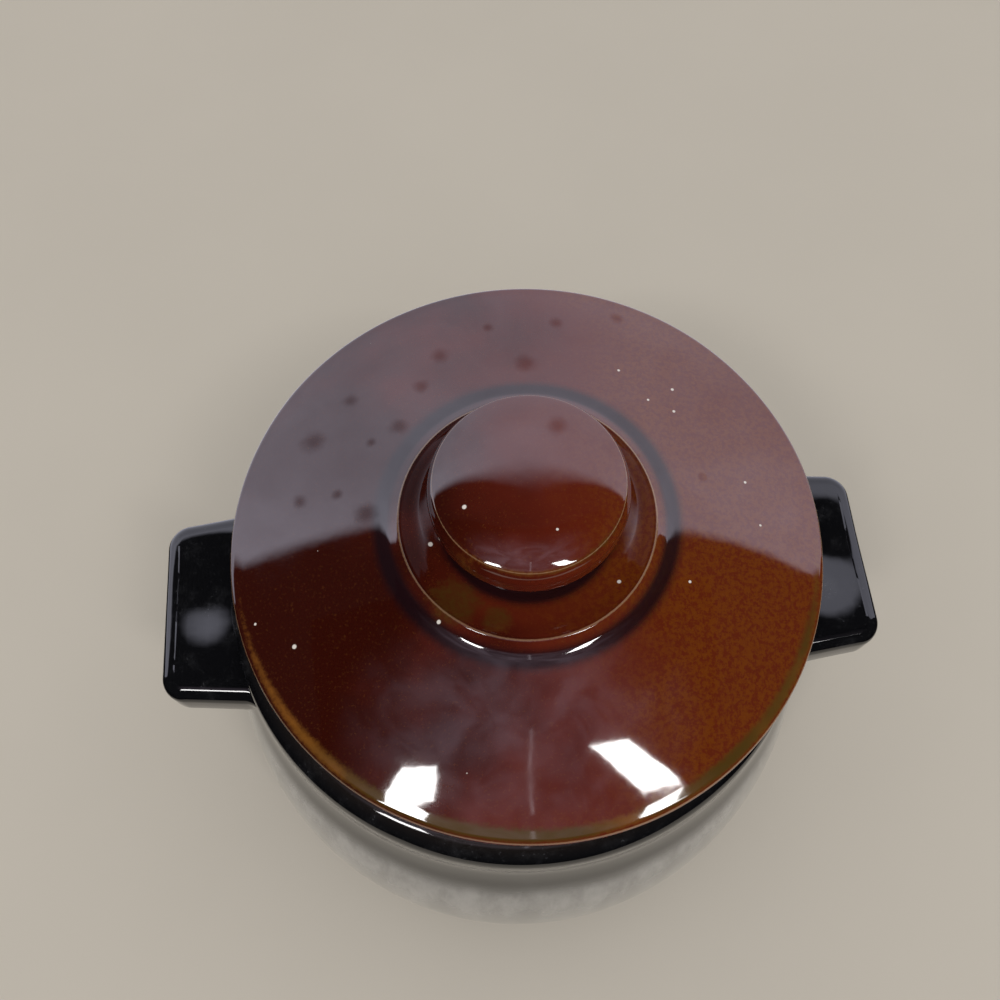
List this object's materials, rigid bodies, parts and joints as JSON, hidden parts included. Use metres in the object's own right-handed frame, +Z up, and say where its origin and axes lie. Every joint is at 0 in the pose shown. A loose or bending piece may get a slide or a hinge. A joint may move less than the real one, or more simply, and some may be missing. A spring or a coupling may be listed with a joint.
{
  "type": "stoneware bean pot",
  "caption": "Bellied stoneware bean pot with a rolled rim, two flat-topped lug handles and a domed lift-off lid with a drum knob.",
  "frame": {"origin": "centre of the standing ring, on the surface that the pot stands on", "axes": "+Z up along the pot's axis, X through the two handles, -Y towards the picture's viewer"},
  "size_m": [0.2142, 0.191, 0.1762],
  "materials": {
    "black_glaze": "high gloss black glaze on stoneware",
    "brown_glaze": "high gloss red-brown glaze that breaks to amber on the edges"
  },
  "bodies": {
    "pot": {"pot_body": "black_glaze", "handle_left": "black_glaze", "handle_right": "black_glaze"},
    "lid": {"lid": "brown_glaze", "lid_knob": "brown_glaze"}
  },
  "joints": [
    {"name": "lid_lift", "type": "slide", "parent": "pot", "child": "lid", "axis": [0, 0, 1], "range_m": [0, 0.08]}
  ]
}
